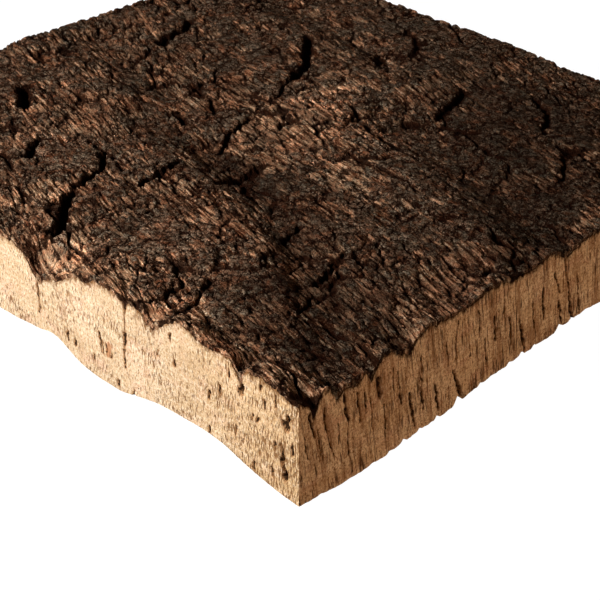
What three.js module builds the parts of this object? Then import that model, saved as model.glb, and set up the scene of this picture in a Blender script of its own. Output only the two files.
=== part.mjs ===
// A sawn slab of raw cork bark, lying with the rough outer bark up.
//
// It grew as one piece, so it is one mesh. The top is the weathered back of the bark: long swells
// along the grain, broken into plates by fissures. The four sides are flat saw cuts. The belly, which
// faced the tree, is smoother, gently wavy and finely grooved along the grain.
//
// Millimetres, +Z up. The grain runs along Y. The origin is under the middle of the slab, on the
// plane that its three low spots rest on.

import * as THREE from "three";
import { mergeGeometries, mergeVertices } from "three/addons/utils/BufferGeometryUtils.js";

// The slab's size. Its near corner, where both saw cuts are seen, is at the lowest X and Y.
const WIDTH = 256; // across the grain
const LENGTH = 280; // along the grain
const BACK = 42.5; // usual height of the outer bark over the resting plane
const BELLY = 5.2; // usual height of the belly over it

// How finely each sheet is divided: across the grain, then along it.
const TOP_CELLS = [88, 55];
const BELLY_CELLS = [28, 22];

// Each outline gives distances along a saw cut from the near corner, and heights there.
// They hold along the first stretch of the cut, and fade out before the end of it and inwards.
const HELD_TO = 150;
const FADED_BY = 178;
const TOP_REACH = 9;
const BELLY_REACH = 30;
const LEFT_TOP = [
  [0, 43.2], [8, 45], [15, 46], [23, 45], [27, 41.5], [31, 45.6], [45, 46.6], [53, 48.4], [58, 47.6],
  [63, 45.5], [70, 41.6], [76, 43.6], [84, 44], [92, 45], [100, 44], [108, 42], [116, 38.8],
  [124, 34.5], [131, 31.5], [135, 32.5], [139, 38], [145, 40], [152, 40.2], [178, 42],
];
const RIGHT_TOP = [
  [0, 43.2], [4, 42.6], [7, 39.6], [10, 43], [13, 44], [17, 39.8], [21, 41.2], [26, 40.2], [30, 41.2],
  [33, 38.6], [37, 42.3], [42, 43], [47, 40.5], [51, 39.9], [55, 42.2], [59, 44.2], [66, 43.8],
  [75, 42.6], [82, 42.2], [88, 44], [97, 44], [104, 42.6], [112, 42.2], [118, 42.4], [124, 44.2],
  [129, 43], [134, 40.6], [139, 40.3], [146, 41.4], [178, 43],
];
const LEFT_BELLY = [
  [0, 3.2], [8, 3.3], [16, 4.4], [26, 6.6], [36, 8.9], [46, 9.8], [56, 9.2], [66, 8.4], [74, 6.6],
  [82, 4.2], [90, 3.2], [106, 3.1], [114, 4.8], [121, 8.4], [127, 9.3], [136, 7.4], [145, 6.2],
  [178, 5],
];
const RIGHT_BELLY = [
  [0, 3.2], [10, 2.2], [20, 1.1], [43, 1], [60, 2.2], [76, 2.8], [90, 5.2], [110, 5.8], [130, 6.6],
  [146, 8], [178, 7],
];

// Fissures and hollows in the outer bark. Each is a run of places measured from the near corner,
// across and then along the grain, with the half width and the depth of the hollow.
const VALLEY = [[18, -2], [32, 22], [50, 46], [66, 68], [82, 98], [90, 122], [96, 150], [94, 185]];
const HOLLOWS = [
  { run: [[13, 137], [20, 142], [28, 150], [36, 156]], half: 2.6, depth: 5.5 },
  { run: [[40, 160], [52, 161], [60, 168], [63, 172]], half: 2.2, depth: 3.6 },
  { run: [[39, 188], [51, 197]], half: 2.2, depth: 3.6 },
  { run: [[65, 166], [66, 182]], half: 2, depth: 3 },
  { run: [[59, 143], [80, 146]], half: 2.2, depth: 3.6 },
  { run: [[79, 121], [101, 121]], half: 2.4, depth: 3 },
  { run: [[99, 143], [112, 149], [124, 152]], half: 2.2, depth: 2.6 },
  { run: [[82, 108], [86, 118]], half: 2.2, depth: 2 },
  { run: [[66, 75], [78, 79]], half: 2.2, depth: 2 },
  { run: [[9, 65], [20, 68], [31, 73]], half: 2, depth: 1.6 },
  { run: [[56, 47], [67, 51]], half: 2.2, depth: 2.4 },
  { run: [[104, 170], [108, 180]], half: 2.2, depth: 2 },
  { run: VALLEY, half: 9, depth: 2.8 },
  { run: [[128, -2], [140, 25], [150, 45], [158, 80], [168, 112]], half: 10, depth: 2.4 },
  { run: [[181, 99], [203, 106]], half: 2.4, depth: 2.6 },
  { run: [[203, 62], [218, 74], [223, 84]], half: 2, depth: 2 },
  { run: [[64, 226], [76, 238]], half: 2.8, depth: 4.5 },
  { run: [[118, 196], [128, 232], [132, 262]], half: 8, depth: 2.4 },
  { run: [[166, 168], [181, 176], [196, 190]], half: 2.6, depth: 4 },
  { run: [[205, 148], [214, 190], [218, 226]], half: 9, depth: 2.6 },
  { run: [[150, 236], [172, 243]], half: 2.4, depth: 3.6 },
  { run: [[228, 18], [236, 42]], half: 2.8, depth: 3 },
  { run: [[20, 214], [34, 223], [43, 240]], half: 2.6, depth: 4 },
  { run: [[236, 246], [262, 254]], half: 2.8, depth: 4.5 },
];
const RIDGES = [
  { run: [[36, 34], [54, 66], [68, 104], [76, 140]], half: 8, depth: -1.2 },
  { run: [[112, 10], [122, 50], [132, 100], [138, 140]], half: 12, depth: -2 },
  { run: [[4, 148], [22, 176], [30, 214]], half: 12, depth: -1.6 },
  { run: [[188, 120], [196, 176], [200, 240]], half: 12, depth: -1.8 },
  { run: [[88, 190], [100, 236], [104, 276]], half: 11, depth: -1.8 },
];

// The three spots that the slab lies on, from the middle of the slab, and how wide each is.
const RESTS = [[-72, -64], [76, -48], [-4, 84]];
const REST_FLAT = [15, 20];
const REST_FADE = 30;

const mix = (a, b, share) => a + (b - a) * share;
const clamp = (x, low, high) => Math.min(Math.max(x, low), high);

function smooth(from, to, x) {
  const share = clamp((x - from) / (to - from), 0, 1);
  return share * share * (3 - 2 * share);
}

// A repeatable number from 0 to 1 for each pair of whole numbers.
function scatter(i, j, seed) {
  let h = (Math.imul(i, 374761393) + Math.imul(j, 668265263) + Math.imul(seed, 362437)) | 0;
  h = Math.imul(h ^ (h >>> 13), 1274126177);
  return ((h ^ (h >>> 16)) >>> 0) / 4294967296;
}

// Smooth bumps about one unit across, from about -1 to 1.
function bumps(x, y, seed) {
  const i = Math.floor(x);
  const j = Math.floor(y);
  const slope = (di, dj) => {
    const turn = 2 * Math.PI * scatter(i + di, j + dj, seed);
    return Math.cos(turn) * (x - i - di) + Math.sin(turn) * (y - j - dj);
  };
  const a = smooth(0, 1, x - i);
  const b = smooth(0, 1, y - j);
  return 1.5 * mix(mix(slope(0, 0), slope(1, 0), a), mix(slope(0, 1), slope(1, 1), a), b);
}

// Irregular plates about one unit across: how far a place is from the nearest joint between two
// plates, and how high the plate there stands, from 0 to 1.
function plates(x, y, seed) {
  const i = Math.floor(x);
  const j = Math.floor(y);
  let near = Infinity;
  let next = Infinity;
  let lift = 0;
  for (let dj = -1; dj <= 1; dj++) {
    for (let di = -1; di <= 1; di++) {
      const px = i + di + 0.5 + 0.84 * (scatter(i + di, j + dj, seed) - 0.5);
      const py = j + dj + 0.5 + 0.84 * (scatter(i + di, j + dj, seed + 1) - 0.5);
      const away = Math.hypot(px - x, py - y);
      if (away < near) {
        next = near;
        near = away;
        lift = scatter(i + di, j + dj, seed + 2);
      } else if (away < next) {
        next = away;
      }
    }
  }
  return { joint: next - near, lift };
}

// Height of an outline at a distance, by a smooth curve through its points.
function heightAlong(outline, distance) {
  const last = outline.length - 1;
  const d = clamp(distance, outline[0][0], outline[last][0]);
  let k = 0;
  while (k < last - 1 && d > outline[k + 1][0]) k++;
  const slopeAt = (n) => {
    const [d0, h0] = outline[Math.max(n - 1, 0)];
    const [d1, h1] = outline[Math.min(n + 1, last)];
    return (h1 - h0) / (d1 - d0);
  };
  const [d0, h0] = outline[k];
  const [d1, h1] = outline[k + 1];
  const gap = d1 - d0;
  const q = (d - d0) / gap;
  return (
    (2 * q ** 3 - 3 * q ** 2 + 1) * h0 + (q ** 3 - 2 * q ** 2 + q) * gap * slopeAt(k) +
    (3 * q ** 2 - 2 * q ** 3) * h1 + (q ** 3 - q ** 2) * gap * slopeAt(k + 1)
  );
}

// Distance from a place to a run of straight stretches.
function distanceTo(run, u, v) {
  let least = Infinity;
  for (let k = 0; k + 1 < run.length; k++) {
    const [u0, v0] = run[k];
    const [u1, v1] = run[k + 1];
    const du = u1 - u0;
    const dv = v1 - v0;
    const share = clamp(((u - u0) * du + (v - v0) * dv) / (du * du + dv * dv), 0, 1);
    least = Math.min(least, Math.hypot(u - u0 - share * du, v - v0 - share * dv));
  }
  return least;
}

// The grain leans a little towards +X and wanders, so the bark's pattern is laid out on bent
// coordinates: the first across the grain, the second along it.
const LEAN = 0.25;
function grain(u, v) {
  const across = u - LEAN * v + 7 * bumps(u / 90, v / 120, 11) + 1.6 * bumps(u / 20, v / 60, 12);
  const along = v + LEAN * u + 6 * bumps(u / 60, v / 70, 13);
  return [across, along];
}

// Broad form of the back, held to the two measured saw-cut outlines near the corner.
function backSwell(u, v) {
  const [s, t] = grain(u, v);
  return BACK + 1.4 * bumps(s / 38, t / 170, 14) + 1.3 * bumps(u / 85, v / 95, 15);
}

// How much of an outline's height holds at a place, by the distance along the cut and in from it.
const hold = (distance, inward, reach) =>
  (1 - smooth(HELD_TO, FADED_BY, distance)) * Math.exp(-((inward / reach) ** 2));

function heldTo(outlineAtLeft, outlineAtRight, surface, reach, u, v) {
  const atLeft = heightAlong(outlineAtLeft, v) - surface(0, v);
  const atRight = (d) =>
    heightAlong(outlineAtRight, d) - surface(d, 0) -
    (heightAlong(outlineAtLeft, 0) - surface(0, 0)) * hold(0, d, reach);
  return surface(u, v) + atLeft * hold(v, u, reach) + atRight(u) * hold(u, v, reach);
}

// The outer bark: broad form, hollows and ridges, large plates with fissures round them, small
// plates, and ridges of fibre along the grain.
function backHeight(u, v) {
  let z = heldTo(LEFT_TOP, RIGHT_TOP, backSwell, TOP_REACH, u, v);
  const [s, t] = grain(u, v);
  const wanderU = u + 1.8 * bumps(u / 9, v / 9, 16);
  const wanderV = v + 1.8 * bumps(u / 9, v / 9, 17);
  const inland = smooth(0, 12, Math.min(u, v)); // the measured outlines already hold the hollows
  for (const { run, half, depth } of [...HOLLOWS, ...RIDGES]) {
    const away = distanceTo(run, wanderU, wanderV) / half;
    if (away < 3) z -= depth * mix(0.3, 1, inland) * Math.exp(-away * away);
  }
  const big = plates((s + 3 * bumps(s / 6, t / 9, 28)) / 26, (t + 4 * bumps(s / 6, t / 9, 29)) / 40, 21);
  const broken = smooth(-0.1, 0.35, bumps(u / 40, v / 46, 24));
  z += mix(0.3, 1, inland) * (0.6 * (big.lift - 0.5) - 1.6 * broken * (1 - smooth(0.02, 0.13, big.joint)));
  const small = plates((s + 1.6 * bumps(s / 3, t / 5, 34)) / 10, (t + 2 * bumps(s / 3, t / 5, 35)) / 14, 27);
  z += mix(0.5, 1, inland) * (0.9 * (small.lift - 0.5) - 0.6 * (1 - smooth(0.02, 0.2, small.joint)));
  return z + 0.4 * mix(0.5, 1, inland) * bumps(s / 5, t / 34, 30);
}

// The belly: gentle waves, grooves along the grain, and three flat spots on the resting plane.
function bellySwell(u, v) {
  const [s, t] = grain(u, v);
  return BELLY + 2.2 * bumps(u / 62, v / 74, 41) + 1.1 * bumps(s / 22, t / 120, 42);
}

function bellyHeight(u, v) {
  const [s, t] = grain(u, v);
  const waves = heldTo(LEFT_BELLY, RIGHT_BELLY, bellySwell, BELLY_REACH, u, v);
  const grooved = Math.max(waves + 0.5 * bumps(s / 7, t / 60, 43), 0.7);
  const lifts = RESTS.map(([x, y]) => {
    const away = Math.hypot((u - WIDTH / 2 - x) / REST_FLAT[0], (v - LENGTH / 2 - y) / REST_FLAT[1]);
    return smooth(1, 1 + REST_FADE / REST_FLAT[0], away);
  });
  return grooved * Math.min(...lifts);
}

// A sheet over the whole slab, with its height given by a function of the place.
function sheet([across, along], height) {
  const geometry = new THREE.PlaneGeometry(WIDTH, LENGTH, across, along);
  const at = geometry.getAttribute("position");
  for (let n = 0; n < at.count; n++) {
    at.setZ(n, height(at.getX(n) + WIDTH / 2, at.getY(n) + LENGTH / 2));
  }
  return geometry;
}

// The rim of a sheet, as a closed run of points that starts at the near corner and goes round
// towards +X.
function rim(geometry, [across, along]) {
  const at = geometry.getAttribute("position");
  const point = (i, j) => new THREE.Vector3().fromBufferAttribute(at, (along - j) * (across + 1) + i);
  const sides = [[], [], [], []];
  for (let i = 0; i <= across; i++) {
    sides[0].push(point(i, 0));
    sides[2].push(point(across - i, along));
  }
  for (let j = 0; j <= along; j++) {
    sides[1].push(point(across, j));
    sides[3].push(point(0, along - j));
  }
  return sides;
}

// A saw cut: a flat band of triangles between the rim of the back and the rim of the belly.
function sawCut(upper, lower) {
  const corners = [];
  const from = upper[0];
  const reach = (p) => Math.hypot(p.x - from.x, p.y - from.y);
  let a = 0;
  let b = 0;
  while (a < upper.length - 1 || b < lower.length - 1) {
    const stepLower =
      a === upper.length - 1 || (b < lower.length - 1 && reach(lower[b + 1]) < reach(upper[a + 1]));
    if (stepLower) {
      corners.push(lower[b], lower[b + 1], upper[a]);
      b++;
    } else {
      corners.push(upper[a], lower[b], upper[a + 1]);
      a++;
    }
  }
  return new THREE.BufferGeometry().setFromPoints(corners);
}

function onlyPositions(geometry) {
  const bare = geometry.index ? geometry.toNonIndexed() : geometry;
  bare.deleteAttribute("normal");
  bare.deleteAttribute("uv");
  return bare;
}

const back = sheet(TOP_CELLS, backHeight);
const belly = sheet(BELLY_CELLS, bellyHeight);
const cuts = rim(back, TOP_CELLS).map((side, k) => sawCut(side, rim(belly, BELLY_CELLS)[k]));
const corners = belly.index.array;
for (let k = 0; k < corners.length; k += 3) {
  [corners[k], corners[k + 1]] = [corners[k + 1], corners[k]]; // the belly faces down
}

const geometry = mergeVertices(mergeGeometries([back, belly, ...cuts].map(onlyPositions)), 1e-4);
geometry.computeVertexNormals();
const barkBrown = new THREE.MeshStandardMaterial({
  color: 0x6b4a30,
  roughness: 0.95,
  metalness: 0,
  flatShading: true,
});
const slab = new THREE.Mesh(geometry, barkBrown);
slab.name = "cork_bark";

const part = new THREE.Group();
part.name = "sawn_cork_bark_slab";
part.add(slab);

export default part;
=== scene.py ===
"""A sawn slab of raw cork bark, lying on a pale floor with its rough outer bark up."""

import math

import bpy
import numpy as np
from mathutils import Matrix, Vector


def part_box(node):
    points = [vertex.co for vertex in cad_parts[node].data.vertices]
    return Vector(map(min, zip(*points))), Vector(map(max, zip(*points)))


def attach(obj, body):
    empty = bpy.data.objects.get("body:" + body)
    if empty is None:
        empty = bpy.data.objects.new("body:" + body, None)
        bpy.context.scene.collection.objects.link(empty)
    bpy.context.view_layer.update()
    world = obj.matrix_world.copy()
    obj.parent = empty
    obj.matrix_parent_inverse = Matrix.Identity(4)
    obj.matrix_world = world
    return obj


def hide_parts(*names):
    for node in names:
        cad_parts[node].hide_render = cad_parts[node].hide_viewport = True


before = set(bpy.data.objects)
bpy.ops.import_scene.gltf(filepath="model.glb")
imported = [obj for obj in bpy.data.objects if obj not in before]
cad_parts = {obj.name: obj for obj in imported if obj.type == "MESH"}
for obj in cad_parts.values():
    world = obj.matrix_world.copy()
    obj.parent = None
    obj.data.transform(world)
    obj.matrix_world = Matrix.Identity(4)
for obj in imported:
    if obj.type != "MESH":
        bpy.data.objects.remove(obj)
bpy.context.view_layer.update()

# The form of the slab
# One piece of cork, as it was stripped from the tree and then sawn square. Its back is weathered
# outer bark, split into plates, and its belly is gently wavy. Lengths are millimetres from the
# near corner of the saw cuts: across the grain, then along it, then up from the resting plane.

MM = 0.001
low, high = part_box("cork_bark")
WIDTH = round((high.x - low.x) / MM)
LENGTH = round((high.y - low.y) / MM)
BACK = 42.5
BELLY = 5.2

# Outlines of the two saw cuts that the photo shows: distance from the near corner, then height.
# They hold along the first stretch of a cut, and fade out before its end and inwards.
TOP_REACH = 9
BELLY_REACH = 30
HELD_TO = 150
FADED_BY = 178
LEFT_TOP = [
    (0, 43.2), (8, 45), (15, 46), (23, 45), (27, 41.5), (31, 45.6), (45, 46.6), (53, 48.4), (58, 47.6),
    (63, 45.5), (70, 41.6), (76, 43.6), (84, 44), (92, 45), (100, 44), (108, 42), (116, 38.8),
    (124, 34.5), (131, 31.5), (135, 32.5), (139, 38), (145, 40), (152, 40.2), (178, 42),
]
RIGHT_TOP = [
    (0, 43.2), (4, 42.6), (7, 39.6), (10, 43), (13, 44), (17, 39.8), (21, 41.2), (26, 40.2), (30, 41.2),
    (33, 38.6), (37, 42.3), (42, 43), (47, 40.5), (51, 39.9), (55, 42.2), (59, 44.2), (66, 43.8),
    (75, 42.6), (82, 42.2), (88, 44), (97, 44), (104, 42.6), (112, 42.2), (118, 42.4), (124, 44.2),
    (129, 43), (134, 40.6), (139, 40.3), (146, 41.4), (178, 43),
]
LEFT_BELLY = [
    (0, 3.2), (8, 3.3), (16, 4.4), (26, 6.6), (36, 8.9), (46, 9.8), (56, 9.2), (66, 8.4), (74, 6.6),
    (82, 4.2), (90, 3.2), (106, 3.1), (114, 4.8), (121, 8.4), (127, 9.3), (136, 7.4), (145, 6.2),
    (178, 5),
]
RIGHT_BELLY = [
    (0, 3.2), (10, 2.2), (20, 1.1), (43, 1), (60, 2.2), (76, 2.8), (90, 5.2), (110, 5.8), (130, 6.6),
    (146, 8), (178, 7),
]

# Each hollow or ridge: its run, its half width, and its depth, which is below zero for a ridge.
# Those narrower than a fissure's half width have steep sides and dark floors.
FISSURE_HALF = 3
HOLLOWS = [
    ([(13, 137), (20, 142), (28, 150), (36, 156)], 1.9, 5.5),
    ([(40, 160), (52, 161), (60, 168), (63, 172)], 1.4, 3.6),
    ([(39, 188), (51, 197)], 1.4, 3.6),
    ([(65, 166), (66, 182)], 1.1, 3),
    ([(59, 143), (80, 146)], 1.4, 3.6),
    ([(79, 121), (101, 121)], 1.8, 3),
    ([(99, 143), (112, 149), (124, 152)], 1.3, 2.6),
    ([(82, 108), (86, 118)], 1.4, 2),
    ([(66, 75), (78, 79)], 1.2, 2),
    ([(9, 65), (20, 68), (31, 73)], 1.1, 1.6),
    ([(56, 47), (67, 51)], 1.5, 2.4),
    ([(104, 170), (108, 180)], 1.6, 2),
    ([(2, 3), (7, 1)], 2.4, 2),
    ([(18, -2), (32, 22), (50, 46), (66, 68), (82, 98), (90, 122), (96, 150), (94, 185)], 9, 2.8),
    ([(128, -2), (140, 25), (150, 45), (158, 80), (168, 112)], 10, 2.4),
    ([(181, 99), (203, 106)], 2, 2.6),
    ([(203, 62), (218, 74), (223, 84)], 1.3, 2),
    ([(64, 226), (76, 238)], 2.4, 4.5),
    ([(118, 196), (128, 232), (132, 262)], 8, 2.4),
    ([(166, 168), (181, 176), (196, 190)], 2.2, 4),
    ([(205, 148), (214, 190), (218, 226)], 9, 2.6),
    ([(150, 236), (172, 243)], 2.2, 3.6),
    ([(228, 18), (236, 42)], 2.6, 3),
    ([(20, 214), (34, 223), (43, 240)], 2.2, 4),
    ([(236, 246), (262, 254)], 2.6, 4.5),
]
RIDGES = [
    ([(36, 34), (54, 66), (68, 104), (76, 140)], 8, -1.2),
    ([(112, 10), (122, 50), (132, 100), (138, 140)], 12, -2),
    ([(4, 148), (22, 176), (30, 214)], 12, -1.6),
    ([(188, 120), (196, 176), (200, 240)], 12, -1.8),
    ([(88, 190), (100, 236), (104, 276)], 11, -1.8),
]

# Patches where grey crust is left on the bark, and patches worn down to the reddish fibres.
# Each has its middle, its radii across and along the grain, and its strength.
CRUST = [
    (30, 104, 16, 22, 1), (50, 178, 18, 14, 1), (25, 180, 12, 10, 0.5), (32, 62, 13, 14, 0.8),
    (112, 165, 13, 16, 0.9), (108, 104, 7, 8, 0.9), (135, 78, 13, 24, 0.7), (172, 72, 22, 34, 0.9),
    (214, 76, 25, 26, 1), (128, 30, 20, 16, 0.8), (152, 22, 20, 14, 0.7), (108, 50, 12, 12, 0.7),
    (26, 14, 9, 14, 0.6), (85, 98, 7, 16, 0.7), (240, 150, 20, 34, 0.7), (170, 200, 20, 26, 0.7),
    (60, 250, 22, 20, 0.7), (220, 240, 24, 24, 0.8), (90, 62, 9, 9, 0.5),
]
FIBRE = [
    (128, 126, 24, 20, 1.3), (112, 96, 8, 8, 0.8), (124, 148, 10, 12, 0.7), (24, 164, 13, 10, 0.9),
    (60, 100, 8, 26, 0.7), (58, 8, 14, 14, 1), (84, 12, 14, 10, 0.9), (104, 20, 10, 14, 0.7),
    (188, 112, 14, 14, 0.8), (74, 200, 18, 20, 0.9), (22, 134, 14, 8, 0.7), (52, 40, 12, 16, 0.8),
    (160, 45, 10, 16, 0.4), (136, 190, 16, 26, 0.7), (196, 30, 16, 18, 0.5), (12, 250, 14, 20, 0.7),
    (6, 90, 8, 40, 0.9), (4, 30, 8, 26, 0.9), (125, 82, 12, 10, 0.4), (66, 128, 10, 12, 0.6),
]

# Patches where the bark is darker, or paler if their strength is below zero, as above. They are
# partly the bark's own tone, and partly painted shade in the valleys and towards the far end of the
# right saw cut, where less light falls, and painted light along the left saw cut, where the light
# is strongest. A strength of one halves the brightness.
TONES_AND_PAINTED_LIGHT = [
    (28, 14, 12, 18, 1.1), (34, 36, 14, 20, 1.2), (50, 46, 12, 18, 1.3), (50, 18, 14, 16, 0.8),
    (66, 58, 10, 20, 1.1), (76, 74, 9, 14, 0.8), (87, 108, 9, 26, 1.5), (96, 128, 8, 22, 1.1),
    (95, 160, 8, 22, 0.7), (100, 22, 14, 14, 0.9), (140, 18, 20, 24, 1), (156, 52, 16, 40, 0.9),
    (178, 66, 18, 44, 0.9), (215, 60, 24, 60, 0.9), (118, 16, 10, 14, 0.6),
    (6, 120, 10, 20, -1), (4, 76, 7, 14, -1.1), (18, 130, 14, 14, -0.6), (20, 96, 14, 20, -0.5),
    (22, 160, 16, 10, -0.9), (55, 196, 24, 12, -0.8), (52, 172, 14, 8, -0.7), (40, 84, 14, 18, -0.4),
    (46, 108, 14, 12, -0.3), (128, 122, 24, 26, -0.7), (146, 92, 12, 22, -1), (160, 136, 16, 16, -1),
    (156, 150, 16, 12, -0.7), (6, 40, 8, 24, -0.5), (18, 62, 12, 12, -0.4),
]

# Pockets where the dark bark reaches down into a saw cut: place, half width, extra depth.
RIM_DEPTH = 1.2
RIM_REACH = 5
LEFT_POCKETS = [
    (26.5, 1, 1.6), (68, 3.4, 2.4), (72.5, 1, 1.6), (77, 3, -0.9), (83, 1, 2), (131, 6, 1.2), (8, 3, 0.6),
    (45, 4, 0.6), (60, 1.5, 0.8), (104, 2, 0.8), (118, 3, 0.8),
]
RIGHT_POCKETS = [
    (6.5, 1.1, 2.4), (17, 1.2, 2), (25, 3.6, 1.6), (33, 1.3, 2), (51, 2, 2), (64, 1, 1), (136, 5, 1),
]

# The three low spots that the slab lies on, from its middle, with the size of their flats.
RESTS = [(-72, -64), (76, -48), (-4, 84)]
REST_FLAT = (15, 20)
REST_FADE = 30
LOWEST_WAVE = 0.7

# Notches where grooves of the belly run out through the right saw cut: place, half width, depth.
NOTCHES = [
    (43, 1.2, 0.8), (50, 1.2, 1.4), (58, 0.9, 0.8), (67, 1, 1.3), (78, 1.6, 3.8), (90, 0.8, 0.7),
    (106, 1, 1.1), (113, 1.2, 2), (120, 0.9, 1), (135, 1.3, 2.4), (142, 0.9, 1),
]


def smooth(start, end, x):
    """0 up to start, 1 from end, and a smooth rise between them."""
    share = np.clip((x - start) / (end - start), 0, 1)
    return share * share * (3 - 2 * share)


def mix(a, b, share):
    return a + (b - a) * share


def scatter(i, j, seed):
    """A repeatable number from 0 to 1 for each pair of whole numbers."""
    i = i.astype(np.int64).astype(np.uint32)
    j = j.astype(np.int64).astype(np.uint32)
    h = i * np.uint32(374761393) + j * np.uint32(668265263) + np.uint32(seed * 362437)
    h = (h ^ (h >> np.uint32(13))) * np.uint32(1274126177)
    return (h ^ (h >> np.uint32(16))) / 4294967296


def bumps(x, y, seed):
    """Smooth bumps about one unit across, from about -1 to 1."""
    i, j = np.floor(x), np.floor(y)

    def slope(di, dj):
        turn = 2 * np.pi * scatter(i + di, j + dj, seed)
        return np.cos(turn) * (x - i - di) + np.sin(turn) * (y - j - dj)

    a, b = smooth(0, 1, x - i), smooth(0, 1, y - j)
    return 1.5 * mix(mix(slope(0, 0), slope(1, 0), a), mix(slope(0, 1), slope(1, 1), a), b)


def plates(x, y, seed):
    """Irregular plates about one unit across: how far a place is from the nearest joint, and the
    plate's own lift from 0 to 1."""
    i, j = np.floor(x), np.floor(y)
    near = np.full(x.shape, np.inf)
    following = np.full(x.shape, np.inf)
    lift = np.zeros(x.shape)
    for dj in (-1, 0, 1):
        for di in (-1, 0, 1):
            px = i + di + 0.5 + 0.84 * (scatter(i + di, j + dj, seed) - 0.5)
            py = j + dj + 0.5 + 0.84 * (scatter(i + di, j + dj, seed + 1) - 0.5)
            away = np.hypot(px - x, py - y)
            nearer = away < near
            following = np.where(nearer, near, np.minimum(following, away))
            lift = np.where(nearer, scatter(i + di, j + dj, seed + 2), lift)
            near = np.where(nearer, away, near)
    return following - near, lift


def height_along(outline, distance):
    """Height of an outline at each distance, by a smooth curve through its points."""
    d, h = (np.array(column, float) for column in zip(*outline))
    slopes = np.empty(len(d))
    slopes[1:-1] = (h[2:] - h[:-2]) / (d[2:] - d[:-2])
    slopes[0] = (h[1] - h[0]) / (d[1] - d[0])
    slopes[-1] = (h[-1] - h[-2]) / (d[-1] - d[-2])
    x = np.clip(distance, d[0], d[-1])
    k = np.clip(np.searchsorted(d, x, side="left") - 1, 0, len(d) - 2)
    gap = d[k + 1] - d[k]
    q = (x - d[k]) / gap
    return ((2 * q**3 - 3 * q**2 + 1) * h[k] + (q**3 - 2 * q**2 + q) * gap * slopes[k]
            + (3 * q**2 - 2 * q**3) * h[k + 1] + (q**3 - q**2) * gap * slopes[k + 1])


def distance_to(run, u, v):
    """Distance from each place to a run of straight stretches."""
    least = np.full(u.shape, np.inf)
    for (u0, v0), (u1, v1) in zip(run, run[1:]):
        du, dv = u1 - u0, v1 - v0
        share = np.clip(((u - u0) * du + (v - v0) * dv) / (du * du + dv * dv), 0, 1)
        least = np.minimum(least, np.hypot(u - u0 - share * du, v - v0 - share * dv))
    return least


LEAN = 0.25


def grain(u, v):
    """The grain leans and wanders, so patterns are laid out on bent coordinates."""
    across = u - LEAN * v + 7 * bumps(u / 90, v / 120, 11) + 1.6 * bumps(u / 20, v / 60, 12)
    along = v + LEAN * u + 6 * bumps(u / 60, v / 70, 13)
    return across, along


def held_to(left, right, surface, reach, u, v):
    """A surface, drawn to two measured outlines where it meets the saw cuts near the corner."""
    def hold(distance, inward):
        return (1 - smooth(HELD_TO, FADED_BY, distance)) * np.exp(-((inward / reach) ** 2))

    nought = np.zeros_like(u)
    at_left = height_along(left, v) - surface(nought, v)
    at_corner = height_along(left, nought) - surface(nought, nought)
    at_right = height_along(right, u) - surface(u, nought) - at_corner * hold(nought, u)
    return surface(u, v) + at_left * hold(v, u) + at_right * hold(u, v)


def back_swell(u, v):
    """Broad form of the back, away from the measured outlines."""
    s, t = grain(u, v)
    return BACK + 1.4 * bumps(s / 38, t / 170, 14) + 1.3 * bumps(u / 85, v / 95, 15)


def patched(u, v, patches):
    """The sum of soft patches."""
    total = np.zeros_like(u)
    for middle_u, middle_v, across, along, strength in patches:
        away = ((u - middle_u) / across) ** 2 + ((v - middle_v) / along) ** 2
        total = total + strength * np.exp(-away)
    return total


def crust_share(u, v):
    """Where crust is left on the bark: 1 on crust, 0 where the fibres show."""
    s, t = grain(u, v)
    lean = 0.8 * bumps(s / 12, t / 18, 61) + 0.9 * bumps(s / 4, t / 9, 62)
    lean = lean + 0.9 * bumps(s / 1.7, t / 6, 63)
    lean = lean + 0.8 * patched(u, v, CRUST) - 0.8 * patched(u, v, FIBRE)
    return smooth(-0.4, 0.2, lean)


def joints(s, t, size, warp, seed, width):
    """Cracks round irregular plates, 1 in the middle of a crack, and the plates' lift."""
    across = s + warp * bumps(s / (2 * warp), t / (3 * warp), seed + 7)
    along = t + 1.4 * warp * bumps(s / (2 * warp), t / (3 * warp), seed + 8)
    joint, lift = plates(across / size[0], along / size[1], seed)
    return 1 - smooth(0.1 * width / size[0], 2 * width / size[0], joint), lift - 0.5


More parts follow.
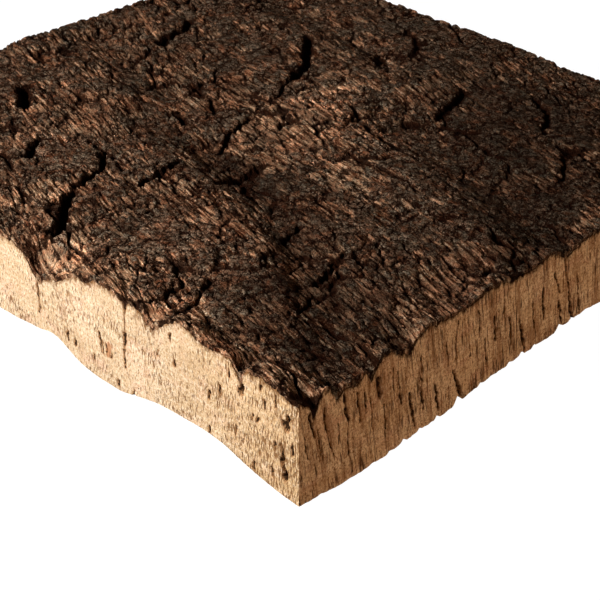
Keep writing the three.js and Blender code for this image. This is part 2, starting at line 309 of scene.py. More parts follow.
def back_height(u, v):
    """The outer bark: broad form, hollows, plates with fissures round them, crust and fibres.
    Gives its height, how deep each place lies in a crack, the crust's share and the fibres' crests."""
    z = held_to(LEFT_TOP, RIGHT_TOP, back_swell, TOP_REACH, u, v)
    s, t = grain(u, v)
    wander_u = u + 1.8 * bumps(u / 9, v / 9, 16) + 1.1 * bumps(u / 3, v / 3, 56)
    wander_v = v + 1.8 * bumps(u / 9, v / 9, 17) + 1.1 * bumps(u / 3, v / 3, 57)
    wander_u = wander_u + 0.5 * bumps(u / 1.5, v / 1.8, 58)
    wander_v = wander_v + 0.5 * bumps(u / 1.5, v / 1.8, 59)
    inland = smooth(0, 12, np.minimum(u, v))
    dug = np.zeros_like(z)
    for run, half, depth in HOLLOWS + RIDGES:
        away = distance_to(run, wander_u, wander_v) / half
        fissure = half < FISSURE_HALF
        fall = depth * np.exp(-away ** (4 if fissure else 2))
        z = z - mix(0.3, 1, inland) * fall
        if fissure:
            dug = dug + fall
    crust = crust_share(u, v)
    fibre = 1 - crust

    crack, lift = joints(s, t, (26, 40), 3, 21, 1.1)
    crack = 1.8 * crack * smooth(-0.1, 0.35, bumps(u / 40, v / 46, 24))
    z = z + mix(0.3, 1, inland) * (0.5 * lift - crack)
    dug = dug + crack
    crack, lift = joints(s, t, (10, 14), 1.6, 27, 0.7)
    crack = 1.0 * crack * smooth(-0.2, 0.4, bumps(u / 15, v / 17, 34))
    z = z + mix(0.5, 1, inland) * (0.4 * lift - crack)
    dug = dug + crack

    crack, lift = joints(u + 0.1 * v, v, (4.6, 5.4), 0.9, 66, 0.34)
    crack = 0.6 * crust * crack * smooth(-0.5, 0.2, bumps(u / 8, v / 8, 35))
    z = z + crust * (0.55 + 0.25 * lift) - crack
    dug = dug + 1.6 * crack

    crack, lift = joints(s, t, (1.5, 13), 0.6, 46, 0.34)
    crack = 0.3 * fibre * crack
    z = z + 0.4 * fibre * lift - crack
    dug = dug + 1.8 * crack - 0.5 * fibre * lift
    crack, lift = joints(s, t, (4.2, 20), 0.8, 49, 0.5)
    crack = 0.6 * fibre * crack
    z = z + 0.5 * fibre * lift - crack
    dug = dug + 1.4 * crack
    crest = 1 - np.abs(2.6 * bumps(s / 1.5, t / 24, 47))
    z = z + 0.22 * fibre * np.maximum(crest, -1)
    rough = 0.1 * bumps(u / 0.9, v / 1.1, 69) + 0.14 * bumps(s / 2.2, t / 3, 70)
    return z + rough, dug - 2 * rough, crust, np.clip(crest, 0, 1)


def rim_depth(u, v):
    """How far the dark bark reaches down, which shows as a rim along the saw cuts."""
    depth = RIM_DEPTH + 0.5 * bumps(u / 5, v / 5, 73) + 0.9 * bumps(u / 1.7, v / 1.7, 74)
    for pockets, place, inward in ((LEFT_POCKETS, v, u), (RIGHT_POCKETS, u, v)):
        for middle, half, extra in pockets:
            depth = depth + extra * np.exp(-(((place - middle) / half) ** 2) - (inward / RIM_REACH) ** 2)
    return np.maximum(depth, 0.3)


def belly_swell(u, v):
    """Broad form of the belly, away from the measured outlines."""
    s, t = grain(u, v)
    return BELLY + 2.2 * bumps(u / 62, v / 74, 41) + 1.1 * bumps(s / 22, t / 120, 42)


def belly_height(u, v):
    """The belly: gentle waves, grooves along the grain, and three flat spots to rest on."""
    s, t = grain(u, v)
    waves = held_to(LEFT_BELLY, RIGHT_BELLY, belly_swell, BELLY_REACH, u, v)
    waves = waves + 0.5 * bumps(s / 7, t / 60, 43) + 0.35 * bumps(s / 2.6, t / 30, 44)
    for place, half, depth in NOTCHES:
        away = (u - LEAN * v - place) / half
        waves = waves + depth * np.exp(-away * away) * (1 - smooth(8, 30, v))
    lifts = 1.0
    for x, y in RESTS:
        away = np.hypot((u - WIDTH / 2 - x) / REST_FLAT[0], (v - LENGTH / 2 - y) / REST_FLAT[1])
        lifts = np.minimum(lifts, smooth(1, 1 + REST_FADE / REST_FLAT[0], away))
    return np.maximum(waves, LOWEST_WAVE) * lifts


def graded(start, end, first, last):
    """Places from start to end whose spacing grows evenly from first to last."""
    steps = np.linspace(first, last, round(2 * (end - start) / (first + last)))
    places = np.concatenate([[0], np.cumsum(steps)]) * (end - start) / steps.sum() + start
    places[-1] = end
    return places


def pushed_in(u, v, depth):
    """Moves places that lie on the saw cuts into the slab."""
    inward_u = (u == 0) * 1.0 - (u == WIDTH) * 1.0
    inward_v = (v == 0) * 1.0 - (v == LENGTH) * 1.0
    return u + depth * inward_u, v + depth * inward_v


class Block:
    """A closed solid: a band of sides, and a sheet of faces above and below. It collects points,
    what is known at each of them, and faces with their finishes, and makes one object of them."""

    KNOWN = ("hollow", "crust", "crest", "tone", "under", "pore", "chip")
    SHARP_DEGREES = 75

    def __init__(self):
        self.points = []
        self.known = {name: [] for name in self.KNOWN}
        self.faces = []
        self.finishes = []
        self.count = 0

    def add_points(self, u, v, z, **known):
        numbers = self.count + np.arange(z.size).reshape(z.shape)
        self.points.append(np.stack([np.broadcast_to(a, z.shape).ravel() for a in (u, v, z)], 1))
        for name, column in self.known.items():
            column.append(np.broadcast_to(known.get(name, 0.0), z.shape).ravel())
        self.count += z.size
        return numbers

    def add_faces(self, faces, finish):
        self.faces.extend(faces)
        self.finishes.extend([finish] * len(faces))

    def add_grid(self, numbers, finish):
        corners = [numbers[:-1, :-1], numbers[:-1, 1:], numbers[1:, 1:], numbers[1:, :-1]]
        self.add_faces(np.stack(corners, -1).reshape(-1, 4).tolist(), finish)

    def add_strip(self, outer, outer_at, inner, inner_at, finish, facing_up):
        """Fills the strip between two rows of points, by walking along both."""
        a = b = 0
        faces = []
        while a < len(outer) - 1 or b < len(inner) - 1:
            outer_next = outer_at[a + 1] if a < len(outer) - 1 else np.inf
            inner_next = inner_at[b + 1] if b < len(inner) - 1 else np.inf
            if outer_next <= inner_next:
                faces.append([outer[a], outer[a + 1], inner[b]])
                a += 1
            else:
                faces.append([outer[a], inner[b + 1], inner[b]])
                b += 1
        self.add_faces(faces if facing_up else [face[::-1] for face in faces], finish)

    def add_band(self, box, side_lines, side_points, finishes):
        """Adds the four sides. side_lines are the places of the columns on the near, right, far
        and left sides, and side_points gives the points of a side from its columns' places."""
        u0, v0, u1, v1 = box
        near, right, far, left = side_lines
        walks = [
            (near, v0 + 0 * near), (u1 + 0 * right, right),
            (far[::-1], v1 + 0 * far), (u0 + 0 * left, left[::-1]),
        ]
        sides = [side_points(self, number, u[:-1], v[:-1]) for number, (u, v) in enumerate(walks)]
        self.walked = [near - u0, right - v0, u1 - far[::-1], v1 - left[::-1]]
        self.rims, self.feet = [], []
        for side, following, finish in zip(sides, sides[1:] + sides[:1], finishes):
            numbers = np.hstack([side, following[:, :1]])
            self.add_grid(numbers.T, finish)
            self.rims.append(numbers[0])
            self.feet.append(numbers[-1])

    def add_sheet(self, box, u_lines, v_lines, sheet_points, finish, facing_up):
        """Adds a grid inside the outline, and a strip that joins it to the band of sides."""
        u0, v0, u1, v1 = box
        numbers = sheet_points(self, *np.meshgrid(u_lines[1:-1], v_lines[1:-1]))
        self.add_grid(numbers if facing_up else numbers.T, finish)
        inner_rows = [
            (numbers[0], u_lines[1:-1] - u0), (numbers[:, -1], v_lines[1:-1] - v0),
            (numbers[-1, ::-1], u1 - u_lines[-2:0:-1]), (numbers[::-1, 0], v1 - v_lines[-2:0:-1]),
        ]
        edges = self.rims if facing_up else self.feet
        for edge, walked, (inner, inner_at) in zip(edges, self.walked, inner_rows):
            self.add_strip(edge, walked, inner, inner_at, finish, facing_up)

    def made(self, name, materials):
        """The object, in the frame's metres, riding on the slab's one body. Its points also hold
        their place along and across the bent grain."""
        places = np.concatenate(self.points)
        mesh = bpy.data.meshes.new(name)
        mesh.from_pydata((places - (WIDTH / 2, LENGTH / 2, 0)) * MM, [], self.faces)
        for known, columns in self.known.items():
            values = np.concatenate(columns)
            mesh.attributes.new(known, "FLOAT", "POINT").data.foreach_set("value", values)
        bent = np.stack([*grain(places[:, 0], places[:, 1]), places[:, 2]], 1)
        mesh.attributes.new("grain", "FLOAT_VECTOR", "POINT").data.foreach_set("vector", bent.ravel())
        mesh.polygons.foreach_set("material_index", self.finishes)
        mesh.polygons.foreach_set("use_smooth", [True] * len(mesh.polygons))
        mesh.set_sharp_from_angle(angle=math.radians(self.SHARP_DEGREES))
        for material in materials:
            mesh.materials.append(material)
        piece = bpy.data.objects.new(name, mesh)
        bpy.context.scene.collection.objects.link(piece)
        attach(piece, "root")
        return piece


class Wire:
    """A node's output, on which sums are written as in arithmetic."""

    def __init__(self, finish, socket):
        self.finish = finish
        self.socket = socket

    def maths(self, operation, *values):
        return self.finish.add("Math", {"operation": operation}, dict(enumerate(values)))[0]

    def __add__(self, other):
        return self.maths("ADD", self, other)

    def __radd__(self, other):
        return self.maths("ADD", other, self)

    def __sub__(self, other):
        return self.maths("SUBTRACT", self, other)

    def __rsub__(self, other):
        return self.maths("SUBTRACT", other, self)

    def __mul__(self, other):
        return self.maths("MULTIPLY", self, other)

    def __rmul__(self, other):
        return self.maths("MULTIPLY", other, self)

    def __rpow__(self, other):
        return self.maths("POWER", other, self)

    def between(self, start, end):
        """0 up to start, 1 from end, and a smooth rise between them."""
        ranged = self.finish.add(
            "MapRange", {"interpolation_type": "SMOOTHSTEP"}, {0: self, 1: start, 2: end, 3: 0.0, 4: 1.0})
        return ranged[0]


class Finish:
    """A material, with one method that adds a node to it."""

    def __init__(self, name):
        self.material = bpy.data.materials.new(name)
        self.material.use_nodes = True
        self.tree = self.material.node_tree
        self.tree.nodes.clear()

    def add(self, kind, settings, inputs):
        node = self.tree.nodes.new("ShaderNode" + kind)
        for name, value in settings.items():
            setattr(node, name, value)
        for name, value in inputs.items():
            if isinstance(value, Wire):
                self.tree.links.new(value.socket, node.inputs[name])
            else:
                node.inputs[name].default_value = value
        return [Wire(self, socket) for socket in node.outputs]

    def known(self, name):
        """A number that the mesh holds at each of its points."""
        return self.add("Attribute", {"attribute_name": name}, {})[2]

    def grain_places(self):
        return self.add("Attribute", {"attribute_name": "grain"}, {})[1]

    def slab_places(self):
        """Places in millimetres in the frame: X across the grain, Y along it, Z up."""
        there = self.add("TexCoord", {}, {})[3]
        return self.add("VectorMath", {"operation": "SCALE"}, {0: there, 3: 1 / MM})[0]

    def stretched(self, places, scale):
        return self.add("VectorMath", {"operation": "MULTIPLY"}, {0: places, 1: scale})[0]

    def noise(self, places, scale, detail=3.0, roughness=0.55):
        """Soft noise, about 0 to 1, with so many millimetres to a feature each way."""
        scaled = self.stretched(places, tuple(1 / step for step in scale))
        return self.add("TexNoise", {}, {0: scaled, 2: 1.0, 3: detail, 4: roughness})[0]

    def cracks(self, places, scale, core, edge):
        """1 on the joints between irregular cells, which are so many millimetres wide each way."""
        scaled = self.stretched(places, tuple(1 / step for step in scale))
        joint = self.add("TexVoronoi", {"feature": "DISTANCE_TO_EDGE"}, {0: scaled, 2: 1.0})[0]
        return 1 - joint.between(core, edge)

    def bent(self, places, size, reach):
        """Places that are pushed about, so that what is laid out on them gets ragged."""
        scaled = self.stretched(places, (1 / size,) * 3)
        pushes = self.add("TexNoise", {}, {0: scaled, 2: 1.0, 3: 2.0})[1]
        sum_inputs = {0: pushes, 1: (reach,) * 3, 2: places}
        return self.add("VectorMath", {"operation": "MULTIPLY_ADD"}, sum_inputs)[0]

    def blend(self, first, second, share, way="MIX"):
        inputs = {0: share, 6: first, 7: second}
        return self.add("Mix", {"data_type": "RGBA", "blend_type": way}, inputs)[2]

    def hued(self, base, places, size, share):
        """A colour that wanders between redder and greener."""
        wander = self.noise(places, (size,) * 3, 2)
        hues = self.blend(colour(0.60, 0.47, 0.41), colour(0.42, 0.52, 0.55), wander.between(0.36, 0.64))
        return self.blend(base, hues, share, "OVERLAY")

    def bump(self, height, distance, strength=1.0, under=None):
        inputs = {"Strength": strength, "Distance": distance * MM, "Height": height}
        if under:
            inputs["Normal"] = under
        return self.add("Bump", {}, inputs)[0]

    def end(self, colour, roughness, normal):
        """Ends in a shader with almost no gloss, as dry bark and cork have."""
        shader = self.add("BsdfPrincipled", {}, {
            "Base Color": colour, "Roughness": roughness, "Normal": normal, "Specular IOR Level": 0.04,
        })[0]
        self.add("OutputMaterial", {}, {0: shader})
        return self.material


def colour(red, green, blue):
    return (red, green, blue, 1.0)


# The outer bark
# Dry grey crust over reddish fibres, split by black fissures. It grew on the cork, so it sits
# on it with no joint, and shows in the saw cuts as a thin dark rim with crumbled edges.

BARK_SPACING = (0.36, 0.52), (0.44, 0.62)
BARK_ROOT = 9
SECTIONS = 4
EVEN_TONE = 0.65


def outer_bark():
    """Grey crust where crust is left, paler on its raised crumbs as painted highlights, and reddish
    fibres elsewhere, lighter on their raised threads and crests as painted highlights. Both are
    blended nearly black in their cracks and pits, as dirt and painted shade."""
    finish = Finish("outer_bark")
    grain_at, at = finish.grain_places(), finish.slab_places()
    crust = finish.known("crust")
    hollow = finish.known("hollow")
    crest = finish.known("crest")
    tone = finish.known("tone")
    fine = finish.noise(at, (2.2, 2.6, 2.2), 5, 0.7)
    grit = finish.noise(at, (0.6, 0.6, 0.6), 3, 0.75)
    threads = finish.noise(grain_at, (0.6, 16, 2), 3, 0.65)
    ragged = finish.bent(at, 2.2, 2.4)
    splits = finish.cracks(ragged, (3.6, 4.4, 4.0), 0.01, 0.08)
    crazes = finish.cracks(ragged, (1.4, 1.7, 1.5), 0.02, 0.16)
    stain = finish.noise(at, (20, 20, 20), 3)
    dust = finish.noise(at, (5, 5, 5), 4, 0.6)
    grey = finish.blend(colour(0.037, 0.018, 0.009), colour(0.120, 0.084, 0.062), fine.between(0.34, 0.70))
    # Painted highlights: the crust is blended paler on its raised crumbs, where the grit and fine bumps
    # peak.
    painted_highlight = (grit * 0.65 + fine * 0.35).between(0.50, 0.66)
    grey = finish.blend(grey, colour(0.32, 0.24, 0.18), painted_highlight * 0.6)
    grey = finish.blend(grey, colour(0.12, 0.044, 0.02), (1 - dust.between(0.36, 0.5)) * 0.6)
    # Painted highlights: the fibres are lighter on their raised threads and crests, and lightest where the
    # grit also peaks.
    lit = (crest * 0.3 + threads * 1.4 + (grit - 0.5) * 0.7 - 0.15).between(0.40, 0.98)
    fibres = finish.blend(colour(0.036, 0.0095, 0.003), colour(0.35, 0.200, 0.122), lit)
    fibres = finish.blend(fibres, colour(0.455, 0.34, 0.26), (lit * grit).between(0.44, 0.62) * 0.75)
    fibres = finish.blend(fibres, colour(0.075, 0.042, 0.027), stain.between(0.42, 0.62) * 0.6)
    mixed = (crust + (fine - 0.5) * 1.1 + (threads - 0.5) * 0.7).between(0.2, 0.8)
    surface = finish.blend(fibres, grey, mixed)
    surface = finish.hued(surface, at, 1.7, 0.45)
    surface = finish.hued(surface, at, 13, 0.35)
    # The tone patches darken or pale the bark: its own tone, with painted shade and painted light.
    surface = finish.add("VectorMath", {"operation": "SCALE"}, {0: surface, 3: 0.5 ** (tone - EVEN_TONE)})[0]
    lines = (splits + crazes * 0.6) * mixed
    # Dirt and painted shade: the bark is blended nearly black in its cracks, fissures and the low spots of
    # its bumps.
    dirt_and_painted_shade = hollow * 0.9 + lines * 0.7 + (0.5 - grit) * 2.6 + (0.5 - fine) * 1.8
    surface = finish.blend(surface, colour(0.0115, 0.0022, 0.0003), dirt_and_painted_shade.between(0.0, 1.0) * 0.95)
    rough = finish.bump(threads, 1.5, 1.0)
    rough = finish.bump(fine, 1.4, 0.9, rough)
    rough = finish.bump(grit, 0.9, 1.0, rough)
    rough = finish.bump(lines, -0.5, 1.0, rough)
    return finish.end(surface, 0.92, rough)


def bark_side(block, number, u, v):
    """The crumbled rim of the bark over a saw cut, darker as it goes down."""
    top, hollow, crust, crest = back_height(u, v)
    depth = rim_depth(u, v) + 1.2
    fallen = np.linspace(0, 1, 4)[:, None]
    z = top - depth * fallen
    crumbled = 0.15 + 0.35 * (1 + bumps((u + v) / 1.2, z / 1.2, 83))
    flat_u, flat_v = (np.broadcast_to(a, z.shape) for a in (u, v))
    return block.add_points(
        *pushed_in(flat_u, flat_v, crumbled), z,
        hollow=hollow, crust=0.6 * crust, crest=crest, tone=0.1 - 0.6 * fallen)


def bark_back(block, u, v):
    z, hollow, crust, crest = back_height(u, v)
    tone = patched(u, v, TONES_AND_PAINTED_LIGHT) + 0.7 * bumps(u / 7, v / 9, 91) + 0.4 * bumps(u / 3, v / 4, 92)
    return block.add_points(u, v, z, hollow=hollow, crust=crust, crest=crest, tone=tone)


def bark_root(block, u, v):
    return block.add_points(u, v, held_to(LEFT_TOP, RIGHT_TOP, back_swell, TOP_REACH, u, v) - BARK_ROOT)


bark_material = outer_bark()
bark_u = graded(0, WIDTH, *BARK_SPACING[0])
bark_v = graded(0, LENGTH, *BARK_SPACING[1])
splits = np.linspace(0, len(bark_v) - 1, SECTIONS + 1).round().astype(int)
barks = []
for number, (first, last) in enumerate(zip(splits, splits[1:])):
    lines = bark_v[first:last + 1]
    box = (0, lines[0], WIDTH, lines[-1])
    block = Block()
    block.add_band(box, [bark_u, lines, bark_u, lines], bark_side, [0, 0, 0, 0])
    block.add_sheet(box, bark_u, lines, bark_back, 0, True)
    root_lines = graded(0, WIDTH, 6, 6), graded(lines[0], lines[-1], 6, 6)
    block.add_sheet(box, *root_lines, bark_root, 0, False)
    barks.append(block.made(f"outer_bark_{number + 1}", [bark_material]))


# The cork under it
# Pale golden cork, flat where it was sawn. Cut along the grain it shows small pores, and cut
# across it the long dark channels. The belly faced the tree, and is browner and finely grooved.

CROSS_CUT, LONG_CUT, BELLY_CORK = range(3)
CUT_ROWS = 54

# A ledge and a well under the bark, which nobody sees, keep the cork out of it.
LEDGE = 1.3
WELL = 3.6
WELL_DEPTH = 11

# Dark channels in the right saw cut, where it crosses them: two ends, half width and depth.
CHANNELS = [
    ((5, 37), (7.2, 27), 0.7, 0.9), ((11, 36), (13, 26), 0.6, 0.7), ((13, 26), (16.3, 13), 0.3, 0.4),
    ((20.5, 37), (22, 26), 0.8, 0.9), ((22, 26), (24.5, 3), 0.4, 0.6), ((26.5, 34), (28, 22), 0.6, 0.7),
    ((33, 29), (34.5, 14), 0.35, 0.4), ((36, 35), (37.2, 27), 1, 1.2), ((39, 23), (41, 12), 0.4, 0.5),
    ((46, 33), (48, 18), 0.45, 0.5), ((52, 21), (55.5, 5), 0.7, 1), ((57, 34), (58.6, 18), 0.4, 0.5),
    ((58.6, 18), (60, 10), 0.7, 0.8), ((65, 18), (67.5, 6), 0.8, 1), ((75, 39), (75.6, 22), 0.35, 0.5),
    ((75, 18), (79.5, 6), 1, 1.5), ((86.5, 38), (88, 26), 0.4, 0.5), ((91, 24), (93, 12), 0.5, 0.6),
    ((95.5, 31), (97, 21), 0.8, 0.8), ((104, 27), (106, 14), 0.5, 0.6),
    ((111.5, 20), (114.5, 8), 1, 1.3), ((122.5, 30), (124.5, 16), 0.8, 0.8),
    ((129, 34), (133, 24), 0.6, 0.7), ((133, 20), (136, 9), 0.8, 0.9), ((134, 38), (139, 20), 0.6, 0.8),
    ((139, 20), (143, 8), 0.9, 1), ((143, 26), (147, 10), 0.5, 0.6), ((2.5, 30), (4, 20), 0.3, 0.3),
    ((8.5, 30), (10, 18), 0.3, 0.3), ((17.5, 27), (18.6, 18), 0.3, 0.3), ((30, 33), (31, 24), 0.4, 0.4),
    ((43, 36), (44, 26), 0.35, 0.4), ((70, 33), (71.5, 22), 0.35, 0.4), ((82, 30), (83, 20), 0.3, 0.4),
    ((100, 36), (101, 28), 0.3, 0.4), ((117, 26), (119, 15), 0.4, 0.4),
]

# Slits, holes and pores in the left saw cut, as above.
SLITS = [
    ((7.8, 23.5), (7.2, 18), 1, 1.2), ((7.2, 18), (6.6, 10.5), 1.5, 1.8),
    ((5.2, 35.5), (5.6, 33.6), 1.3, 1.5), ((5.8, 33), (6.6, 31.4), 1.9, 1.8),
    ((26.4, 42), (26.3, 38), 0.9, 0.9), ((26, 37.3), (26.4, 34.5), 1.6, 1.3),
    ((83.2, 44), (83.2, 40), 1.2, 1), ((83.4, 39), (84, 30), 0.5, 0.4),
    ((84, 30), (84.6, 25), 1.3, 0.8), ((84.6, 25), (85, 15), 0.6, 0.5),
    ((11, 23), (11.3, 20), 0.9, 0.6), ((18, 29), (19, 27.5), 0.9, 0.5),
    ((21, 29), (21.2, 26.5), 0.7, 0.5), ((15, 37), (15.2, 34), 0.7, 0.5),
    ((12, 12), (12.1, 9), 0.8, 0.5), ((20.5, 10), (20.6, 7), 0.8, 0.6),
    ((36.2, 32), (36.4, 29), 0.7, 0.5), ((41, 27.5), (41.4, 24), 0.7, 0.5),
    ((58.3, 31), (58.5, 29), 0.9, 0.6), ((59.5, 41), (59.8, 38), 0.8, 0.5),
    ((66.5, 31), (66.7, 29), 0.7, 0.5), ((113, 12.5), (113.3, 10), 0.9, 0.6),
    ((102, 12), (102.4, 10), 0.7, 0.5), ((89.2, 7), (89.5, 5), 1, 0.7), ((80.8, 7), (81, 5), 0.9, 0.6),
    ((29, 20), (29.3, 16), 0.6, 0.4), ((42, 13), (42.3, 10), 0.6, 0.4), ((92, 17), (93, 15), 0.6, 0.4),
    ((98.6, 23), (98, 15), 0.7, 0.5), ((97.2, 20), (96.6, 14), 0.5, 0.4),
    ((95.7, 20.5), (95.2, 15), 0.45, 0.4), ((92.3, 21), (92.6, 15.5), 0.35, 0.3),
    ((3, 27), (3.1, 22), 0.6, 0.4), ((10.4, 42), (10.6, 37), 0.6, 0.4),
    ((31.5, 41), (31.7, 38), 0.7, 0.4), ((17, 42), (17.2, 40), 0.7, 0.4),
    ((117, 15), (117.2, 11), 0.7, 0.4), ((133, 28), (133.4, 15), 0.6, 0.4),
]
MARKS = [CHANNELS, [], [], SLITS]

# Torn reddish chips in the left saw cut: place and height of the middle, half width, half height
# and strength.
CHIPS = [[], [], [], [
    (93.1, 19.5, 0.8, 2.2, 1.1), (93.8, 17.5, 0.9, 2.6, 1.1), (94.6, 16.5, 0.6, 2.2, 1.0),
]]


def cut_marks(marks, along, z):
    """How deep the marks go into a saw cut, and how dark they make it, from 0 to 1."""
    depth = np.zeros_like(z)
    dark = np.zeros_like(z)
    wander = along + 0.5 * bumps(along / 2, z / 2.4, 71) + 0.6 * bumps(along / 9, z / 7, 72)
    swollen = 0.62 + 0.4 * bumps(along / 3, z / 2.6, 77) + 0.25 * bumps(along / 2, z / 1.3, 78)
    for top, bottom, half, deep in marks:
        away = distance_to([top, bottom], wander, z) / np.maximum(half * swollen, 0.16)
        depth = np.maximum(depth, deep * np.exp(-(away**4)))
        dark = np.maximum(dark, 1 - smooth(0.3, 2.4, away))
    return depth, dark


def cork_side(block, number, u, v):
    """A hidden well and ledge under the bark, then the saw cut down to the belly."""
    ledge_u, ledge_v = pushed_in(u, v, LEDGE)
    well_u, well_v = pushed_in(u, v, WELL)
    rim = back_height(u, v)[0] - rim_depth(u, v)
    ledge = back_height(ledge_u, ledge_v)[0] - rim_depth(ledge_u, ledge_v) - 0.6
    well = rim - WELL_DEPTH
    foot = belly_height(u, v)
    z = rim + (foot - rim) * np.linspace(0, 1, CUT_ROWS + 1)[:, None]
    along = np.broadcast_to(v if number % 2 else u, z.shape)
    depth, pore = cut_marks(MARKS[number], along, z)
    depth = depth + 0.12 * (1 + bumps(along / 0.9, z / 1.6, 84))
    flat_u, flat_v = (np.broadcast_to(a, z.shape) for a in (u, v))
    cut_u, cut_v = pushed_in(flat_u, flat_v, depth)
    every_u = np.vstack([well_u, ledge_u, cut_u])
    every_v = np.vstack([well_v, ledge_v, cut_v])
    every_z = np.vstack([well, ledge, z])
    under = np.vstack([0 * well, 0 * ledge, rim - z])
    pore = np.vstack([0 * well, 0 * ledge, pore])
    chip = np.vstack([0 * well, 0 * ledge, patched(along, z, CHIPS[number])])
    return block.add_points(every_u, every_v, every_z, under=under, pore=pore, chip=chip)


def cork_floor(block, u, v):
    return block.add_points(u, v, held_to(LEFT_TOP, RIGHT_TOP, back_swell, TOP_REACH, u, v) - WELL_DEPTH)


def belly(block, u, v):
    return block.add_points(u, v, belly_height(u, v), under=30.0)


def sawn_cork(name, across_x, lean, long_marks, short_marks, streak_share, near_painted_shade_share, shades):
    """Cork where it is sawn: golden, with marks of pores and channels, and darker under the bark.
    The marks' sizes are millimetres to a feature: along the cut, up it and into it. The shades are
    the ground's three, the brightest, the brown, and two dark ones. The share for the near corner is
    how much painted shade, darker and more golden, falls on the cut towards the near corner."""
    ground, pale, warm, bright, brown, dark, darkest = shades
    finish = Finish(name)
    at = finish.slab_places()
    under = finish.known("under")
    pore = finish.known("pore")
    chip = finish.known("chip")
    split = finish.add("SeparateXYZ", {}, {0: at})
    across, depth_in = (split[0], split[1]) if across_x else (split[1], split[0])
    across_from_corner = across + (WIDTH if across_x else LENGTH) / 2
    leaning = across + (split[2] - 20.0) * lean
    face = finish.add("CombineXYZ", {}, {0: leaning, 1: split[2], 2: depth_in * 0.2})[0]
    patches = finish.noise(face, (26, 16, 30), 3)
    bands = finish.noise(face, (70, 1.6, 40), 4, 0.65)
    crumb = finish.noise(face, (0.8, 1.2, 0.8), 4, 0.75)
    strands = finish.noise(face, (0.6, short_marks[1] * 0.56, 2), 4, 0.7)
    columns = finish.noise(face, (2.6, 24, 6), 3, 0.6)
    tint = finish.noise(face, (9, 6, 9), 3)
    streaks = finish.noise(face, long_marks, 3, 0.6) + (crumb - 0.5) * 0.45
    dashes = finish.noise(face, short_marks, 2, 0.5)
    crowd = finish.noise(face, (17, 12, 20), 2)
    grain = finish.noise(face, (0.42, 0.7, 0.5), 2, 0.6)
    near = (70.0 - across_from_corner).between(0.0, 64.0)
    cork = finish.blend(ground, pale, patches.between(0.35, 0.65))
    cork = finish.blend(cork, warm, tint.between(0.48, 0.68) * 0.75)
    # Painted shade: the cut is blended darker and more golden towards the near corner, where the light is
    # weaker.
    cork = finish.blend(cork, colour(0.60, 0.385, 0.185), near * near_painted_shade_share * 5)
    cork = finish.blend(cork, bright, (bands * 0.4 + strands * 0.6).between(0.49, 0.62) * 0.7)
    uneven = columns + (crumb - 0.5) * 0.4
    cork = finish.blend(cork, brown, (1 - uneven.between(0.34, 0.56)) * streak_share * 0.8)
    cork = finish.blend(cork, brown, (1 - (crumb * 0.75 + strands * 0.25).between(0.38, 0.53)) * 0.85)
    cork = finish.blend(cork, dark, (1 - streaks.between(0.33, 0.44)) * streak_share)
    # The dark dashes crowd towards the near corner too, as part of that painted shade.
    dash = dashes + (crowd - 0.5) * 0.45 + near * near_painted_shade_share + (crumb - 0.5) * 0.2
    cork = finish.blend(cork, darkest, dash.between(0.605, 0.70) * 0.85)
    torn = (chip + (strands - 0.5) * 1.6).between(0.3, 0.6)
    cork = finish.blend(cork, colour(0.40, 0.185, 0.09), torn * 0.85)
    cork = finish.add("VectorMath", {"operation": "SCALE"}, {0: cork, 3: 0.5 ** ((0.5 - grain) * 1.6)})[0]
    mark = pore + (crumb - 0.5) * 1.3 + (strands - 0.5) * 1.3
    cork = finish.blend(cork, dark, mark.between(0.25, 0.60) * 0.8)
    cork = finish.blend(cork, colour(0.012, 0.005, 0.002), mark.between(0.60, 0.90) * 0.95)
    stain = 1 - (under + (crumb - 0.5) * 4 + (strands - 0.5) * 5).between(-0.4, 2.2)
    cork = finish.blend(cork, darkest, stain * 0.85)
    rough = finish.bump(crumb, 0.4, 0.8)
    rough = finish.bump(strands, 0.5, 0.8, rough)
    rough = finish.bump(dash.between(0.58, 0.68), -0.5, 0.8, rough)
    return finish.end(cork, 0.9, rough)


def belly_cork():
    finish = Finish("belly_cork")
    grain_at, at = finish.grain_places(), finish.slab_places()
    patches = finish.noise(at, (30, 40, 30), 4)
    grooves = finish.noise(grain_at, (1.8, 26, 4), 4, 0.6)
    crumb = finish.noise(at, (1, 1, 1), 4, 0.7)
    cork = finish.blend(colour(0.34, 0.19, 0.10), colour(0.50, 0.32, 0.18), patches.between(0.3, 0.7))
    cork = finish.blend(cork, colour(0.16, 0.08, 0.04), (1 - grooves.between(0.3, 0.5)) * 0.7)
    rough = finish.bump(grooves, 1.0, 0.8)
    rough = finish.bump(crumb, 0.4, 0.7, rough)
    return finish.end(cork, 0.88, rough)


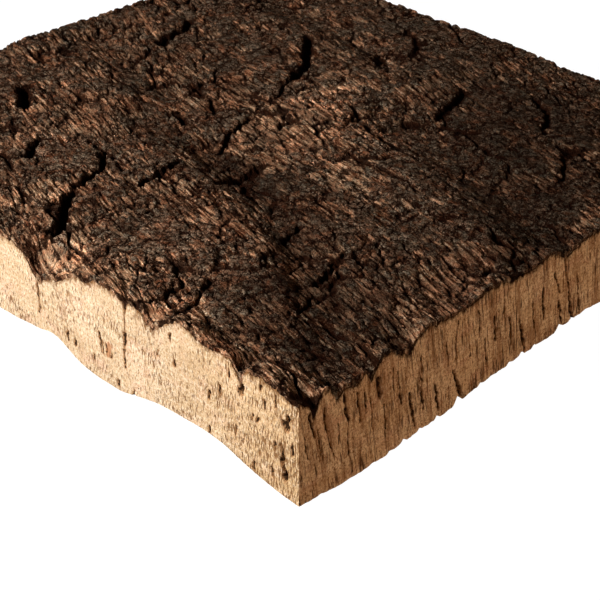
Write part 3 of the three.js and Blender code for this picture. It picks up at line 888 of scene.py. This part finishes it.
cork_box = (0, 0, WIDTH, LENGTH)
cork = Block()
cut_lines = [
    graded(0, WIDTH, 0.36, 0.6), graded(0, LENGTH, 2.2, 2.2),
    graded(0, WIDTH, 2.2, 2.2), graded(0, LENGTH, 0.42, 0.8),
]
cork.add_band(cork_box, cut_lines, cork_side, [CROSS_CUT, LONG_CUT, CROSS_CUT, LONG_CUT])
cork.add_sheet(cork_box, graded(0, WIDTH, 6, 6), graded(0, LENGTH, 6, 6), cork_floor, CROSS_CUT, True)
cork.add_sheet(cork_box, graded(0, WIDTH, 2.0, 2.6), graded(0, LENGTH, 2.4, 3), belly, BELLY_CORK, False)
cork_piece = cork.made("cork_body", [
    sawn_cork("cork_sawn_across", True, 0.14, (0.8, 16, 6), (0.6, 8, 3), 0.85, 0.0, [
        colour(0.60, 0.37, 0.21), colour(0.72, 0.48, 0.30), colour(0.58, 0.32, 0.20),
        colour(0.90, 0.66, 0.45), colour(0.24, 0.105, 0.042), colour(0.15, 0.056, 0.018),
        colour(0.055, 0.020, 0.006),
    ]),
    sawn_cork("cork_sawn_along", False, 0.0, (0.7, 9, 6), (0.6, 2.8, 2), 0.3, 0.1, [
        colour(0.55, 0.42, 0.29), colour(0.66, 0.52, 0.385), colour(0.65, 0.45, 0.345),
        colour(0.82, 0.69, 0.55), colour(0.38, 0.23, 0.105), colour(0.30, 0.145, 0.062),
        colour(0.17, 0.078, 0.028),
    ]),
    belly_cork(),
])
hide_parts("cork_bark")


# The studio
# A plain pale floor and walls. One strong warm light from the left grazes the bark, a weak one
# fills in from the right, and faint ones from behind and below light the far sides as a pale
# floor would.

ROOM_REACH = 3.0
corners = [(-1, -1), (1, -1), (1, 1), (-1, 1)]
room_corners = [(x * ROOM_REACH, y * ROOM_REACH, z) for z in (0, ROOM_REACH) for x, y in corners]
room_sides = [(0, 1, 2, 3), (7, 6, 5, 4), (1, 0, 4, 5), (2, 1, 5, 6), (3, 2, 6, 7), (0, 3, 7, 4)]
floor_mesh = bpy.data.meshes.new("floor")
floor_mesh.from_pydata(room_corners, [], room_sides)
floor = bpy.data.objects.new("floor", floor_mesh)
bpy.context.scene.collection.objects.link(floor)
floor.visible_diffuse = False
floor.visible_glossy = False
floor.visible_shadow = False
pale = Finish("pale_floor")
plain = pale.add("BsdfPrincipled", {}, {
    "Base Color": colour(0.1, 0.1, 0.1), "Roughness": 1.0, "Specular IOR Level": 0.0,
    "Emission Color": colour(1, 1, 1), "Emission Strength": 1.0,
})[0]
# From below the floor is clear, so that the belly can be seen.
clear = pale.add("BsdfTransparent", {}, {})[0]
from_below = pale.add("NewGeometry", {}, {})[6]
seen = pale.add("MixShader", {}, {0: from_below, 1: plain, 2: clear})[0]
pale.add("OutputMaterial", {}, {0: seen})
floor_mesh.materials.append(pale.material)


def add_light(name, towards, distance, size, power, colour_of_light):
    """A square light that faces the slab, from a direction given by azimuth and height in degrees."""
    lamp = bpy.data.lights.new(name, "AREA")
    lamp.size = size
    lamp.energy = power
    lamp.color = colour_of_light
    azimuth, height = (math.radians(angle) for angle in towards)
    light = bpy.data.objects.new(name, lamp)
    light.location = (
        distance * math.cos(height) * math.cos(azimuth),
        distance * math.cos(height) * math.sin(azimuth),
        distance * math.sin(height) + 0.03,
    )
    light.rotation_euler = (math.pi / 2 - height, 0, azimuth + math.pi / 2)
    light.visible_camera = False
    bpy.context.scene.collection.objects.link(light)


add_light("key", (168, 28), 0.75, 0.1, 10.2, (1.0, 0.935, 0.835))
add_light("fill", (276, 10), 1.8, 1.0, 11.4, (1.0, 0.75, 0.50))
add_light("back", (48, 3), 1.8, 0.6, 4.5, (1.0, 0.88, 0.72))
add_light("glow", (225, -90), 1.0, 4.0, 20.0, (1.0, 0.75, 0.55))

world = bpy.data.worlds.new("studio")
world.use_nodes = True
background = world.node_tree.nodes["Background"]
background.inputs["Color"].default_value = colour(1.0, 0.80, 0.62)
background.inputs["Strength"].default_value = 0.035
bpy.context.scene.world = world
bpy.context.scene.view_settings.view_transform = "Standard"

# The camera sees the slab as the photo does: from over the near corner, 33 degrees down.
CAMERA_TILT = 33
camera_data = bpy.data.cameras.new("camera")
camera_data.lens = 96
camera_data.sensor_width = 36
camera = bpy.data.objects.new("camera", camera_data)
camera.location = (-0.4040, -0.4165, 0.3354)
camera.rotation_euler = (math.radians(90 - CAMERA_TILT), 0, math.radians(-45))
bpy.context.scene.collection.objects.link(camera)
bpy.context.scene.camera = camera
